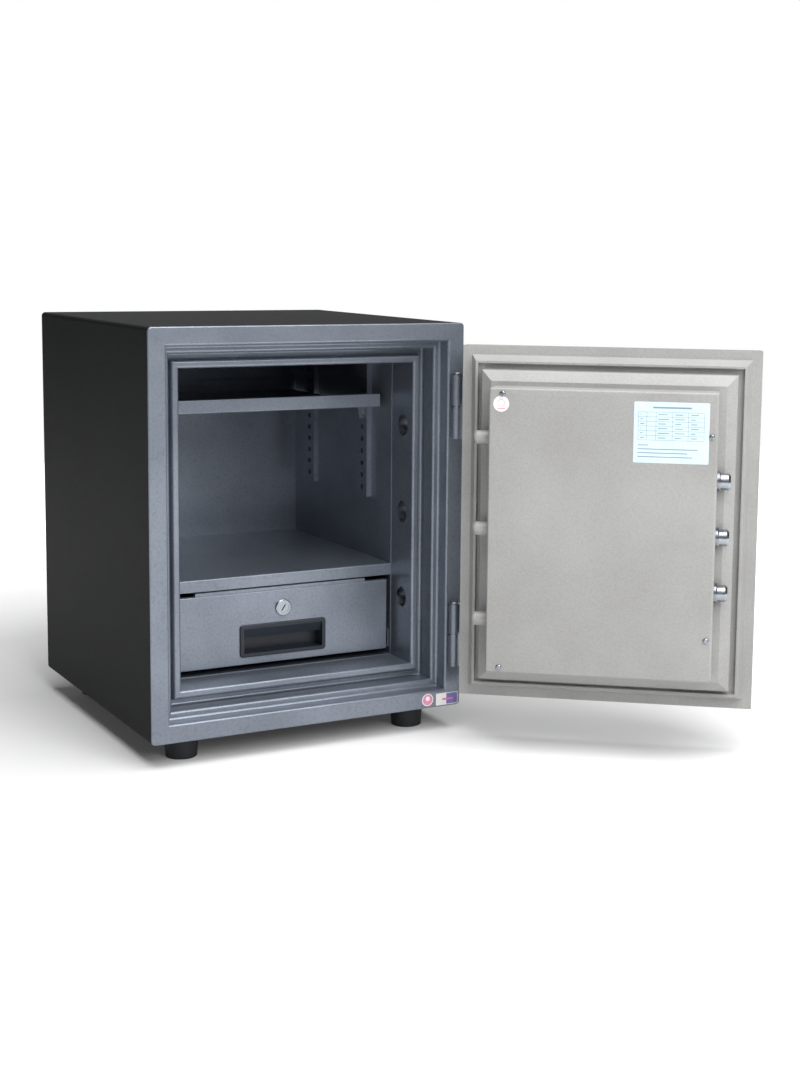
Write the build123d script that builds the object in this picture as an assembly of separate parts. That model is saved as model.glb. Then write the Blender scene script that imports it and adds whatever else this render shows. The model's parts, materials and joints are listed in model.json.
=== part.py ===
from build123d import *
import math
import os

# A small fire-resistant safe with its door standing open, in millimetres.
# X runs to the right, Y to the back and Z up. The finished safe stands with its feet on Z = 0, and
# the origin is below the middle of its body. Heights in this file are measured from the body's
# underside, and every piece is lifted by the height of the feet when it is saved. A "depth" is
# measured backwards from the front face of the body.
# An "inset" is measured inwards from the four outer sides of the body or of the door.

# Overall sizes
WIDTH = 412.0
DEPTH = 420.0
HEIGHT = 488.0
DOOR_OPEN_ANGLE = 141.0

# Sheet metal and clearances
SHELL_SHEET = 2.0
LINER_SHEET = 1.5
THIN_SHEET = 1.2
FILL_MARGIN = 0.5
RUNNING_GAP = 0.05
FREE_GAP = 0.4
SHELL_CORNER = 5.0

# Bolts and the sockets they enter
BOLT_AXIS_DEPTH = 65.0
BOLT_RADIUS = 10.0
BOLT_CHAMFER = 2.5
BOLT_PITCH = 67.0
BOLT_SETBACK = 7.0
BOLT_THROW = 20.0
BOLT_LENGTH = 58.0
BOLT_SOCKET_GAP = 1.2
BOLT_SOCKET_LENGTH = 17.0
STUD_RADIUS = 8.5
STUD_PITCH = 111.0
STUD_REACH = 4.5
STUD_SOCKET_GAP = 4.0
STUD_SOCKET_LENGTH = 12.0

# Stepped front frame: rim, rebate, groove, lip and jamb
RIM = 22.5
OPENING_INSET = 51.0
LIP_WIDTH = 9.7
LIP_HEIGHT = 10.0
GROOVE_WIDTH = 9.3
REBATE_DEPTH = 20.0
JAMB_END = 95.0
FRAME_ROUNDING = 3.2

# Cavity behind the frame
CAVITY_RECESS = -0.8
BACK_WALL = 25.0

# Feet
FOOT_HEIGHT = 30.0
FOOT_RADIUS = 21.0
FOOT_TAPER = 2.0
FOOT_INSET_X = 53.0
FOOT_INSET_Y = 46.0
FOOT_BOLT_RADIUS = 4.0
FOOT_BOLT_HEAD_RADIUS = 6.5
FOOT_BOLT_SEAT = 12.0

# Hinges
HINGE_INSET = 13.5
HINGE_FORWARD = 8.0
KNUCKLE_RADIUS = 7.0
KNUCKLE_LENGTH = 39.0
PIN_RADIUS = 4.0
WASHER_THICKNESS = 1.5
HINGE_FROM_BOTTOM = 94.0
HINGE_FROM_TOP = 104.0
STRAP_THICKNESS = 4.0

# Shelves and pilasters
FIXED_SHELF_TOP = 172.0
FIXED_SHELF_FLANGE = 15.0
UPPER_SHELF_FRONT = 112.0
UPPER_SHELF_FLANGE = 17.0
SHELF_ABOVE_SLOT = 15.0
SHELF_SIDE_GAP = 1.0
PILASTER_DEPTH = 7.0
PILASTER_WIDTH = 28.0
PILASTER_BEHIND_SHELF_FRONT = 40.0
PILASTER_FROM_BACK = 49.0
PILASTER_ABOVE_SHELF = 80.0
PILASTER_BELOW_CEILING = 5.0
SLOT_PITCH = 16.0
SLOT_WIDTH = 8.0
SLOT_HEIGHT = 6.0

# Drawer
DRAWER_SETBACK = 4.0
DRAWER_FLOOR_GAP = 9.0
DRAWER_SHELF_GAP = 5.5
DRAWER_SIDE_GAP = 8.0
DRAWER_RETURN = 8.0
TRAY_BELOW_FRONT = 17.0
TRAY_BACK_GAP = 23.0
PULL_WIDTH = 117.0
PULL_HEIGHT = 41.0
PULL_LOWER_SHARE = 0.19
PULL_BEZEL = 3.5
PULL_DEPTH = 19.0
LOCK_UPPER_SHARE = 0.45
DRAWER_LOCK_RADIUS = 10.5
DRAWER_BARREL_RADIUS = 8.5
DRAWER_PLUG_RADIUS = 7.0

# Door slab and its stepped back
DOOR_GAP = 2.5
DOOR_SKIN = 3.0
DOOR_REBATE_GAP = 2.0
RIDGE_GAP = 4.4
RIDGE_SLOPE = 6.1
RIDGE_WIDTH = 3.5
RIDGE_LIP_GAP = 5.0
DOOR_GROOVE_HEIGHT = 7.0
PLUG_GAP = 2.0
PLUG_SLOPE_WIDTH = 12.5
PLUG_SLOPE_HEIGHT = 8.0
DOOR_ROUNDING = 1.0

# Lock cover on the door's back
COVER_HEIGHT = 30.0
COVER_FROM_PLUG_HINGE = 14.0
COVER_FROM_PLUG_FREE = 21.0
COVER_FROM_PLUG_ENDS = 18.0
COVER_ROUNDING = 3.5
COVER_SCREW_FROM_END = 7.0
COVER_SCREW_FROM_HINGE_EDGE = 16.5
COVER_SCREW_FROM_FREE_EDGE = 7.5
COVER_SCREW_SPREAD = 121.5
BUSH_WALL = 2.0
BUSH_LENGTH = 4.0

# Bolt work, handle and locks
BAR_THICKNESS = 8.0
ARM_THICKNESS = 3.0
CRANK_TRAVEL = 80.0
CRANK_PIN_RADIUS = 3.0
CRANK_SLOT_GAP = 0.7
SPINDLE_RADIUS = 6.0
HANDLE_FROM_BAR = 35.0
HANDLE_BELOW_MIDDLE = 29.0
DIAL_FROM_HANDLE = 55.0
DIAL_ABOVE_MIDDLE = 56.0
DIAL_SPINDLE_RADIUS = 4.0
TONGUE_THROW = 7.0
KEY_ABOVE_MIDDLE = 42.0
KEY_BARREL_RADIUS = 9.0
KEY_PLUG_RADIUS = 6.0

# Body places that follow from the sizes above
FRONT = -DEPTH / 2
HALF_WIDTH = WIDTH / 2
MIDDLE = HEIGHT / 2
STUD_SOCKET_RADIUS = STUD_RADIUS + STUD_SOCKET_GAP
BOLT_SOCKET_RADIUS = BOLT_RADIUS + BOLT_SOCKET_GAP
LIP_INSET = OPENING_INSET - LIP_WIDTH
GROOVE_INSET = LIP_INSET - GROOVE_WIDTH
GROOVE_DEPTH = BOLT_AXIS_DEPTH - STUD_SOCKET_RADIUS - LINER_SHEET - SHELL_SHEET - 1.0
LIP_DEPTH = GROOVE_DEPTH - LIP_HEIGHT
CAVITY_INSET = OPENING_INSET - CAVITY_RECESS
CAVITY_DEPTH = DEPTH - BACK_WALL
OPENING = HALF_WIDTH - OPENING_INSET
CAVITY = HALF_WIDTH - CAVITY_INSET
CEILING = HEIGHT - CAVITY_INSET
HINGE_X = HALF_WIDTH - HINGE_INSET
HINGE_Y = FRONT - HINGE_FORWARD

# Shelf and drawer places
PILASTER_FRONT_DEPTHS = (
    UPPER_SHELF_FRONT + PILASTER_BEHIND_SHELF_FRONT,
    CAVITY_DEPTH - PILASTER_FROM_BACK - PILASTER_WIDTH,
)
PILASTER_BOTTOM = FIXED_SHELF_TOP + PILASTER_ABOVE_SHELF
PILASTER_TOP = CEILING - PILASTER_BELOW_CEILING
SLOT_COUNT = int((PILASTER_TOP - PILASTER_BOTTOM - SLOT_PITCH) / SLOT_PITCH)
SLOT_HEIGHTS = [PILASTER_BOTTOM + 12.0 + SLOT_PITCH * row for row in range(SLOT_COUNT)]
CLIP_SLOT = SLOT_HEIGHTS[-4]
UPPER_SHELF_BOTTOM = CLIP_SLOT + SHELF_ABOVE_SLOT
UPPER_SHELF_TOP = UPPER_SHELF_BOTTOM + UPPER_SHELF_FLANGE
DRAWER_FRONT_DEPTH = JAMB_END - DRAWER_SETBACK
DRAWER_BOTTOM = OPENING_INSET + DRAWER_FLOOR_GAP
DRAWER_TOP = FIXED_SHELF_TOP - FIXED_SHELF_FLANGE - DRAWER_SHELF_GAP
TRAY_HEIGHT = DRAWER_TOP - DRAWER_BOTTOM - 2.0 - TRAY_BELOW_FRONT
TRAY_END = CAVITY_DEPTH - TRAY_BACK_GAP
DRAWER_SPARE_HEIGHT = DRAWER_TOP - DRAWER_BOTTOM - PULL_HEIGHT
PULL_CENTRE = DRAWER_BOTTOM + PULL_LOWER_SHARE * DRAWER_SPARE_HEIGHT + PULL_HEIGHT / 2
LOCK_CENTRE = DRAWER_TOP - LOCK_UPPER_SHARE * DRAWER_SPARE_HEIGHT
LOCK_LENGTH = DRAWER_RETURN + 0.8

# Door places, as insets from the door's own edge and depths with the door shut
DOOR_INSET = RIM + DOOR_GAP
DOOR_HALF = HALF_WIDTH - DOOR_INSET
DOOR_BOTTOM = DOOR_INSET
DOOR_TOP = HEIGHT - DOOR_INSET
DOOR_BACK = REBATE_DEPTH - DOOR_REBATE_GAP
DOOR_EDGE = DOOR_BACK - LINER_SHEET
RIDGE_FOOT = GROOVE_INSET + RIDGE_GAP - DOOR_INSET
RIDGE_TOP = RIDGE_FOOT + RIDGE_SLOPE
RIDGE_DEPTH = LIP_DEPTH - RIDGE_LIP_GAP
DOOR_GROOVE = RIDGE_TOP + RIDGE_WIDTH
DOOR_GROOVE_DEPTH = RIDGE_DEPTH - DOOR_GROOVE_HEIGHT
PLUG_INSET = OPENING_INSET + PLUG_GAP - DOOR_INSET
PLUG_TOP_INSET = PLUG_INSET + PLUG_SLOPE_WIDTH
PLUG_TOP = BOLT_AXIS_DEPTH - BOLT_RADIUS - 1.0
PLUG_DEPTH = PLUG_TOP - PLUG_SLOPE_HEIGHT
COVER_TOP = PLUG_TOP + COVER_HEIGHT
COVER_INSET_HINGE = PLUG_INSET + COVER_FROM_PLUG_HINGE
COVER_INSET_FREE = PLUG_INSET + COVER_FROM_PLUG_FREE
COVER_INSET_ENDS = PLUG_INSET + COVER_FROM_PLUG_ENDS

# Bolt work places
BOLT_END = -OPENING + BOLT_SETBACK
BAR_X = BOLT_END + BOLT_LENGTH
ARM_BOTTOM_DEPTH = BOLT_AXIS_DEPTH + 1.0
ARM_TOP_DEPTH = ARM_BOTTOM_DEPTH + ARM_THICKNESS
CRANK_RADIUS = BOLT_THROW / 2 / math.sin(math.radians(CRANK_TRAVEL / 2))
HANDLE_X = BAR_X + HANDLE_FROM_BAR
HANDLE_HEIGHT = MIDDLE - HANDLE_BELOW_MIDDLE
DIAL_X = HANDLE_X + DIAL_FROM_HANDLE
DIAL_HEIGHT = MIDDLE + DIAL_ABOVE_MIDDLE
KEY_X = HANDLE_X
KEY_HEIGHT = MIDDLE + KEY_ABOVE_MIDDLE


def depth(distance):
    """The Y of a depth behind the front face."""
    return FRONT + distance


def block(x0, x1, y0, y1, z0, z1):
    """A box between two corners."""
    return Pos((x0 + x1) / 2, (y0 + y1) / 2, (z0 + z1) / 2) * Box(x1 - x0, y1 - y0, z1 - z0)


def rod(start, end, radius):
    """A round bar between two points."""
    start, end = Vector(*start), Vector(*end)
    length = (end - start).length
    standing = (Align.CENTER, Align.CENTER, Align.MIN)
    return Plane(origin=start, z_dir=end - start) * Cylinder(radius, length, align=standing)


def tube(start, end, outer, inner):
    """A round tube between two points."""
    return rod(start, end, outer) - rod(start, end, inner)


def cavity_block(inset, front, back):
    """A box that fills the body's front view down to an inset, between two depths."""
    return block(inset - HALF_WIDTH, HALF_WIDTH - inset, depth(front), depth(back), inset, HEIGHT - inset)


def door_block(inset, front, back):
    """A box that fills the closed door's front view down to an inset, between two depths."""
    side = DOOR_HALF - inset
    return block(-side, side, depth(front), depth(back), DOOR_BOTTOM + inset, DOOR_TOP - inset)


def thicken(line, thickness):
    """The closed outline of a bent sheet whose visible side is the line."""
    normals = []
    for (u0, v0), (u1, v1) in zip(line, line[1:]):
        length = math.hypot(u1 - u0, v1 - v0)
        normals.append(((v0 - v1) / length, (u1 - u0) / length))
    hidden = []
    for index, (u, v) in enumerate(line):
        before = normals[max(index - 1, 0)]
        after = normals[min(index, len(normals) - 1)]
        scale = thickness / (1 + before[0] * after[0] + before[1] * after[1])
        hidden.append((u + scale * (before[0] + after[0]), v + scale * (before[1] + after[1])))
    return line + hidden[::-1]


def bent_frame(line, thickness, rounding, half_width, bottom, top):
    """A sheet bent to a stepped line of (inset, depth) points, mitred round a rectangle."""
    face = make_face(Polyline(*thicken(line, thickness), close=True))
    bends = [
        vertex
        for vertex in face.vertices()
        if any(abs(vertex.X - u) + abs(vertex.Y - v) < 1e-6 for u, v in line[1:-1])
    ]
    face = fillet(bends, rounding)
    section = Plane(origin=(0, FRONT, bottom), x_dir=(0, 0, 1), z_dir=(-1, 0, 0)) * face
    path = Polyline(
        (0, FRONT, bottom),
        (-half_width, FRONT, bottom),
        (-half_width, FRONT, top),
        (half_width, FRONT, top),
        (half_width, FRONT, bottom),
        (0, FRONT, bottom),
    )
    return sweep(section, path=path, transition=Transition.RIGHT)


def group(solids):
    """Separate solids kept as one node."""
    return Compound(children=list(solids))


# Body shell, frame and fill


def rounded_tube(inset, front, back, corner):
    """A box with its four front-to-back edges rounded."""
    solid = cavity_block(inset, front, back)
    return fillet(solid.edges().filter_by(Axis.Y), corner)


def outer_shell():
    shell = rounded_tube(0, SHELL_SHEET, DEPTH, SHELL_CORNER)
    shell -= rounded_tube(SHELL_SHEET, 0, DEPTH + 1, SHELL_CORNER - SHELL_SHEET)
    for x, y in foot_centres():
        shell -= rod((x, y, -1), (x, y, SHELL_SHEET + 1), FOOT_BOLT_RADIUS + FREE_GAP)
    return shell


def back_panel():
    return rounded_tube(SHELL_SHEET, DEPTH - SHELL_SHEET, DEPTH, SHELL_CORNER - SHELL_SHEET)


def stud_heights():
    return [MIDDLE + STUD_PITCH * step for step in (-1, 0, 1)]


def bolt_heights():
    return [MIDDLE + BOLT_PITCH * step for step in (-1, 0, 1)]


def socket_space(side, height, radius, reach):
    """The round space a socket takes in the jamb; side is 1 on the hinge side."""
    y = depth(BOLT_AXIS_DEPTH)
    return rod((side * (OPENING - 1), y, height), (side * (OPENING + reach), y, height), radius)


def all_socket_spaces():
    stud_hole = STUD_SOCKET_RADIUS + LINER_SHEET
    bolt_hole = BOLT_SOCKET_RADIUS + LINER_SHEET
    hinge_side = [socket_space(1, z, stud_hole, STUD_SOCKET_LENGTH) for z in stud_heights()]
    free_side = [socket_space(-1, z, bolt_hole, BOLT_SOCKET_LENGTH) for z in bolt_heights()]
    return hinge_side + free_side


def front_frame():
    line = [
        (0, 0),
        (RIM, 0),
        (RIM, REBATE_DEPTH),
        (GROOVE_INSET, REBATE_DEPTH),
        (GROOVE_INSET, GROOVE_DEPTH),
        (LIP_INSET, GROOVE_DEPTH),
        (LIP_INSET, LIP_DEPTH),
        (OPENING_INSET, LIP_DEPTH),
        (OPENING_INSET, JAMB_END),
    ]
    frame = bent_frame(line, SHELL_SHEET, FRAME_ROUNDING, HALF_WIDTH, 0, HEIGHT)
    frame &= rounded_tube(0, -1, DEPTH, SHELL_CORNER)
    outline = frame.faces().sort_by(Axis.Y)[0].outer_wire().edges()
    frame = fillet(outline, SHELL_SHEET * 0.7)
    for space in all_socket_spaces():
        frame -= space
    return frame


def body_fill():
    margin = SHELL_SHEET + FILL_MARGIN
    fill = rounded_tube(SHELL_SHEET, SHELL_SHEET, DEPTH - SHELL_SHEET, SHELL_CORNER - SHELL_SHEET)
    fill -= cavity_block(RIM - margin, 0, REBATE_DEPTH + margin)
    fill -= cavity_block(GROOVE_INSET - margin, 0, LIP_DEPTH + margin)
    groove = cavity_block(GROOVE_INSET - margin, LIP_DEPTH, GROOVE_DEPTH + margin)
    fill -= groove - cavity_block(LIP_INSET + margin, LIP_DEPTH, GROOVE_DEPTH + margin)
    wall = min(OPENING_INSET - SHELL_SHEET, CAVITY_INSET - LINER_SHEET) - FILL_MARGIN
    fill -= cavity_block(wall, 0, CAVITY_DEPTH + LINER_SHEET)
    for space in all_socket_spaces():
        fill -= space
    for x, y in foot_centres():
        fill -= rod((x, y, 0), (x, y, 22), FOOT_BOLT_RADIUS + FREE_GAP)
    return fill


def cavity_liner():
    outside = cavity_block(CAVITY_INSET - LINER_SHEET, JAMB_END, CAVITY_DEPTH + LINER_SHEET)
    return outside - cavity_block(CAVITY_INSET, JAMB_END - 1, CAVITY_DEPTH)


def socket_cup(side, height, radius, reach):
    """A round cup pressed into the jamb, open to the cavity."""
    y = depth(BOLT_AXIS_DEPTH)
    mouth = (side * OPENING, y, height)
    cup = rod(mouth, (side * (OPENING + reach), y, height), radius + LINER_SHEET)
    return cup - rod(
        (side * (OPENING - 1), y, height), (side * (OPENING + reach - LINER_SHEET), y, height), radius
    )


def stud_sockets():
    return group(socket_cup(1, z, STUD_SOCKET_RADIUS, STUD_SOCKET_LENGTH) for z in stud_heights())


def bolt_sockets():
    return group(socket_cup(-1, z, BOLT_SOCKET_RADIUS, BOLT_SOCKET_LENGTH) for z in bolt_heights())


# Feet


def foot_centres():
    x = HALF_WIDTH - FOOT_INSET_X
    y = DEPTH / 2 - FOOT_INSET_Y
    return [(-x, -y), (x, -y), (-x, y), (x, y)]


def foot(x, y):
    standing = (Align.CENTER, Align.CENTER, Align.MIN)
    solid = Pos(x, y, -FOOT_HEIGHT) * Cone(
        FOOT_RADIUS - FOOT_TAPER, FOOT_RADIUS, FOOT_HEIGHT, align=standing
    )
    solid = fillet(solid.edges().group_by(Axis.Z)[0], 1.5)
    solid -= rod((x, y, -FOOT_HEIGHT - 1), (x, y, 1), FOOT_BOLT_RADIUS + FREE_GAP)
    return solid - rod((x, y, -FOOT_HEIGHT - 1), (x, y, -FOOT_BOLT_SEAT), FOOT_BOLT_HEAD_RADIUS + 2)


def foot_bolt(x, y):
    head = rod((x, y, -FOOT_BOLT_SEAT - 5.5), (x, y, -FOOT_BOLT_SEAT), FOOT_BOLT_HEAD_RADIUS)
    return head + rod((x, y, -FOOT_BOLT_SEAT), (x, y, 20), FOOT_BOLT_RADIUS)


# Shelves and what carries them


def pilaster(side, front):
    """A slotted channel on a side wall; side is 1 on the right."""
    x_wall = side * CAVITY
    x_web = side * (CAVITY - PILASTER_DEPTH)
    x_low, x_high = sorted((x_wall, x_web))
    y0, y1 = depth(front), depth(front + PILASTER_WIDTH)
    channel = block(x_low, x_high, y0, y1, PILASTER_BOTTOM, PILASTER_TOP)
    inner = sorted((x_wall + side, x_web + side * THIN_SHEET))
    channel -= block(*inner, y0 + THIN_SHEET, y1 - THIN_SHEET, PILASTER_BOTTOM - 1, PILASTER_TOP + 1)
    y = (y0 + y1) / 2
    for z in SLOT_HEIGHTS:
        slot = sorted((x_web - side, x_web + side * 3))
        channel -= block(
            *slot, y - SLOT_WIDTH / 2, y + SLOT_WIDTH / 2, z - SLOT_HEIGHT / 2, z + SLOT_HEIGHT / 2
        )
    return channel


def shelf_clip(side, front):
    """A clip with a hook through one slot, a tongue under the shelf and a tapered front web."""
    x_web = side * (CAVITY - PILASTER_DEPTH)
    y = depth(front + PILASTER_WIDTH / 2)
    top, low = UPPER_SHELF_BOTTOM, CLIP_SLOT - 4
    plate = sorted((x_web, x_web - side * 1.5))
    clip = block(*plate, y - 5, y + 5, low, top)
    tongue = sorted((x_web, x_web - side * 11))
    clip += block(*tongue, y - 5, y + 5, top - 1.5, top)
    web = [(x_web, top), (x_web - side * 10, top), (x_web - side * 6, low), (x_web, low)]
    face = Plane(origin=(0, y - 5, 0), x_dir=(1, 0, 0), z_dir=(0, -1, 0)) * make_face(
        Polyline(*web, close=True)
    )
    clip += extrude(face, -1.2)
    neck = sorted((x_web, x_web + side * (THIN_SHEET + 1.4)))
    clip += block(*neck, y - 3, y + 3, CLIP_SLOT - 2, CLIP_SLOT + 1)
    hook = sorted((x_web + side * (THIN_SHEET + 0.2), x_web + side * (THIN_SHEET + 1.4)))
    return clip + block(*hook, y - 3, y + 3, CLIP_SLOT - 6, CLIP_SLOT + 1)


def shelf_clips():
    return group(shelf_clip(side, front) for side in (-1, 1) for front in PILASTER_FRONT_DEPTHS)


def upper_shelf():
    """A tray with its front and back edges turned up and the front edge hemmed."""
    half = CAVITY - PILASTER_DEPTH - SHELF_SIDE_GAP
    y0, y1 = depth(UPPER_SHELF_FRONT), depth(CAVITY_DEPTH - 8)
    shelf = block(-half, half, y0, y1, UPPER_SHELF_BOTTOM, UPPER_SHELF_TOP)
    shelf = fillet(shelf.edges().filter_by(Axis.X).group_by(Axis.Z)[0], 1.8)
    floor_top = UPPER_SHELF_BOTTOM + THIN_SHEET
    shelf -= block(-half - 1, half + 1, y0 + THIN_SHEET, y1 - THIN_SHEET, floor_top, UPPER_SHELF_TOP + 1)
    shelf += block(-half, half, y0, y0 + 10, UPPER_SHELF_TOP - THIN_SHEET, UPPER_SHELF_TOP)
    front_top = shelf.edges().filter_by(Axis.X).group_by(Axis.Z)[-1].sort_by(Axis.Y)[0]
    return fillet(front_top, THIN_SHEET * 0.8)


def fixed_shelf():
    y0, y1 = depth(JAMB_END + 0.5), depth(CAVITY_DEPTH)
    bottom = FIXED_SHELF_TOP - FIXED_SHELF_FLANGE
    shelf = block(-CAVITY, CAVITY, y0, y1, bottom, FIXED_SHELF_TOP)
    shelf = fillet(shelf.edges().filter_by(Axis.X).group_by(Axis.Y)[0].sort_by(Axis.Z)[-1:], 1.8)
    inside = CAVITY - THIN_SHEET
    under = FIXED_SHELF_TOP - THIN_SHEET
    return shelf - block(-inside, inside, y0 + THIN_SHEET, y1 + 1, bottom - 1, under)


def drawer_runner(side):
    """An angle on the side wall that the drawer slides on."""
    ledge_top = DRAWER_BOTTOM + 2.0 - FREE_GAP
    y0, y1 = depth(DRAWER_FRONT_DEPTH + DRAWER_RETURN + 1.0), depth(CAVITY_DEPTH - 6)
    wall = sorted((side * CAVITY, side * (CAVITY - THIN_SHEET)))
    ledge = sorted((side * CAVITY, side * (CAVITY - 18)))
    runner = block(*wall, y0, y1, ledge_top - THIN_SHEET, ledge_top + 22)
    return runner + block(*ledge, y0, y1, ledge_top - THIN_SHEET, ledge_top)


# Drawer


def drawer_half():
    return OPENING - DRAWER_SIDE_GAP


def drawer_tray():
    half = drawer_half() - 2.0
    y0, y1 = depth(DRAWER_FRONT_DEPTH + DRAWER_RETURN), depth(TRAY_END)
    bottom = DRAWER_BOTTOM + 2.0
    tray = block(-half, half, y0, y1, bottom, bottom + TRAY_HEIGHT)
    inside = half - THIN_SHEET
    return tray - block(
        -inside, inside, y0 - 1, y1 - THIN_SHEET, bottom + THIN_SHEET, bottom + TRAY_HEIGHT + 1
    )


def drawer_front():
    half = drawer_half()
    y0 = depth(DRAWER_FRONT_DEPTH)
    y1 = y0 + DRAWER_RETURN
    front = block(-half, half, y0, y1, DRAWER_BOTTOM, DRAWER_TOP)
    front = fillet(front.edges().group_by(Axis.Y)[0], 1.2)
    front -= block(
        THIN_SHEET - half,
        half - THIN_SHEET,
        y0 + LINER_SHEET,
        y1 + 1,
        DRAWER_BOTTOM + THIN_SHEET,
        DRAWER_TOP - THIN_SHEET,
    )
    lip_top = DRAWER_TOP + DRAWER_SHELF_GAP - 1.5
    front += block(-half + 31, half - 31, y0 + 2, y1, DRAWER_TOP - THIN_SHEET, lip_top)
    front -= pull_space()
    return front - rod((0, y0 - 1, LOCK_CENTRE), (0, y0 + 5, LOCK_CENTRE), DRAWER_BARREL_RADIUS)


def pull_cup_half():
    """Half the width and half the height of the pull's cup."""
    return PULL_WIDTH / 2 - PULL_BEZEL, PULL_HEIGHT / 2 - PULL_BEZEL


def pull_space():
    half_x, half_z = pull_cup_half()
    y0 = depth(DRAWER_FRONT_DEPTH)
    return block(-half_x, half_x, y0 - 1, y0 + 5, PULL_CENTRE - half_z, PULL_CENTRE + half_z)


def drawer_pull():
    half_x, half_z = pull_cup_half()
    y0 = depth(DRAWER_FRONT_DEPTH)
    x, z = PULL_WIDTH / 2, PULL_HEIGHT / 2
    bezel = block(-x, x, y0 - 2.5, y0, PULL_CENTRE - z, PULL_CENTRE + z)
    bezel = fillet(bezel.edges().filter_by(Axis.Y), 4.0)
    bezel = fillet(bezel.edges().group_by(Axis.Y)[0], 1.2)
    cup = block(-half_x, half_x, y0, y0 + PULL_DEPTH, PULL_CENTRE - half_z, PULL_CENTRE + half_z)
    wall = 1.5
    hollow = block(
        wall - half_x,
        half_x - wall,
        y0 - 3,
        y0 + PULL_DEPTH - wall,
        PULL_CENTRE - half_z + wall,
        PULL_CENTRE + half_z - wall,
    )
    lip_top = PULL_CENTRE + half_z - wall
    lip_section = Polyline(
        (y0 - 1.5, lip_top), (y0 + 3.5, lip_top - 12), (y0 + 5.5, lip_top - 12), (y0 + 3, lip_top), close=True
    )
    lip = Plane(origin=(wall - half_x, 0, 0), x_dir=(0, 1, 0), z_dir=(1, 0, 0)) * make_face(lip_section)
    return bezel + cup - hollow + extrude(lip, 2 * (half_x - wall))


def drawer_lock_body():
    y0 = depth(DRAWER_FRONT_DEPTH)
    start, end = (0, y0 - 3, LOCK_CENTRE), (0, y0, LOCK_CENTRE)
    ring = rod(start, end, DRAWER_LOCK_RADIUS)
    ring = fillet(ring.edges().group_by(Axis.Y)[0], 1.2)
    ring += rod(end, (0, y0 + LOCK_LENGTH - 1.6, LOCK_CENTRE), DRAWER_BARREL_RADIUS)
    return ring - rod((0, y0 - 4, LOCK_CENTRE), (0, y0 + 11, LOCK_CENTRE), DRAWER_PLUG_RADIUS + RUNNING_GAP)


def drawer_lock_nut():
    y0 = depth(DRAWER_FRONT_DEPTH) + LINER_SHEET
    hexagon = Plane(origin=(0, y0, LOCK_CENTRE), z_dir=(0, 1, 0)) * RegularPolygon(12.5, 6)
    return extrude(hexagon, 3) - rod((0, y0 - 1, LOCK_CENTRE), (0, y0 + 4, LOCK_CENTRE), DRAWER_BARREL_RADIUS)


def drawer_lock_plug():
    y0 = depth(DRAWER_FRONT_DEPTH)
    plug = rod((0, y0 - 2.4, LOCK_CENTRE), (0, y0 + LOCK_LENGTH, LOCK_CENTRE), DRAWER_PLUG_RADIUS)
    slot = Pos(0, y0 - 2.4, LOCK_CENTRE) * Rot(0, 35, 0) * Box(1.6, 8, 9)
    return plug - slot


def drawer_lock_cam():
    y0 = depth(DRAWER_FRONT_DEPTH) + LOCK_LENGTH
    boss = rod((0, y0, LOCK_CENTRE), (0, y0 + 2, LOCK_CENTRE), 8)
    reach = DRAWER_TOP - LOCK_CENTRE + DRAWER_SHELF_GAP + 4
    return boss + block(0, reach, y0, y0 + 2, LOCK_CENTRE - 5, LOCK_CENTRE + 5)


# Hinges


def hinge_heights():
    return [HINGE_FROM_BOTTOM, HEIGHT - HINGE_FROM_TOP]


def body_knuckle(height):
    """The lower half of one hinge, welded to the rim."""
    top = height - WASHER_THICKNESS / 2
    bottom = top - KNUCKLE_LENGTH
    axis_low, axis_high = (HINGE_X, HINGE_Y, bottom), (HINGE_X, HINGE_Y, top)
    knuckle = rod(axis_low, axis_high, KNUCKLE_RADIUS)
    knuckle += block(HINGE_X - 4, HINGE_X + 4, HINGE_Y, FRONT, bottom, top)
    return knuckle - rod((HINGE_X, HINGE_Y, bottom + 4), (HINGE_X, HINGE_Y, top + 1), PIN_RADIUS)


def hinge_pin(height):
    bottom = height - WASHER_THICKNESS / 2 - KNUCKLE_LENGTH + 4
    top = height + WASHER_THICKNESS / 2 + KNUCKLE_LENGTH + 2 * FREE_GAP
    pin = rod((HINGE_X, HINGE_Y, bottom), (HINGE_X, HINGE_Y, top), PIN_RADIUS)
    head = rod((HINGE_X, HINGE_Y, top), (HINGE_X, HINGE_Y, top + 2.5), 6.0)
    return pin + fillet(head.edges().group_by(Axis.Z)[-1], 1.5)


def hinge_washer(height):
    half = WASHER_THICKNESS / 2
    low, high = (HINGE_X, HINGE_Y, height - half), (HINGE_X, HINGE_Y, height + half)
    return tube(low, high, KNUCKLE_RADIUS + 0.6, PIN_RADIUS)


def door_knuckle(height):
    """The upper half of one hinge with the strap welded to the door."""
    bottom = height + WASHER_THICKNESS / 2 + FREE_GAP
    top = bottom + KNUCKLE_LENGTH
    low, high = (HINGE_X, HINGE_Y, bottom), (HINGE_X, HINGE_Y, top)
    knuckle = rod(low, high, KNUCKLE_RADIUS)
    outer, inner = HINGE_Y - STRAP_THICKNESS / 2, HINGE_Y + STRAP_THICKNESS / 2
    knuckle += block(DOOR_HALF - 30, HINGE_X, outer, inner, bottom + 2, top - 2)
    knuckle += block(DOOR_HALF - 30, DOOR_HALF - 2, inner, FRONT, bottom + 2, top - 2)
    bore = rod((HINGE_X, HINGE_Y, bottom - 1), (HINGE_X, HINGE_Y, top + 1), PIN_RADIUS + RUNNING_GAP)
    return knuckle - bore


# Door slab, modelled shut and swung open on saving


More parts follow.
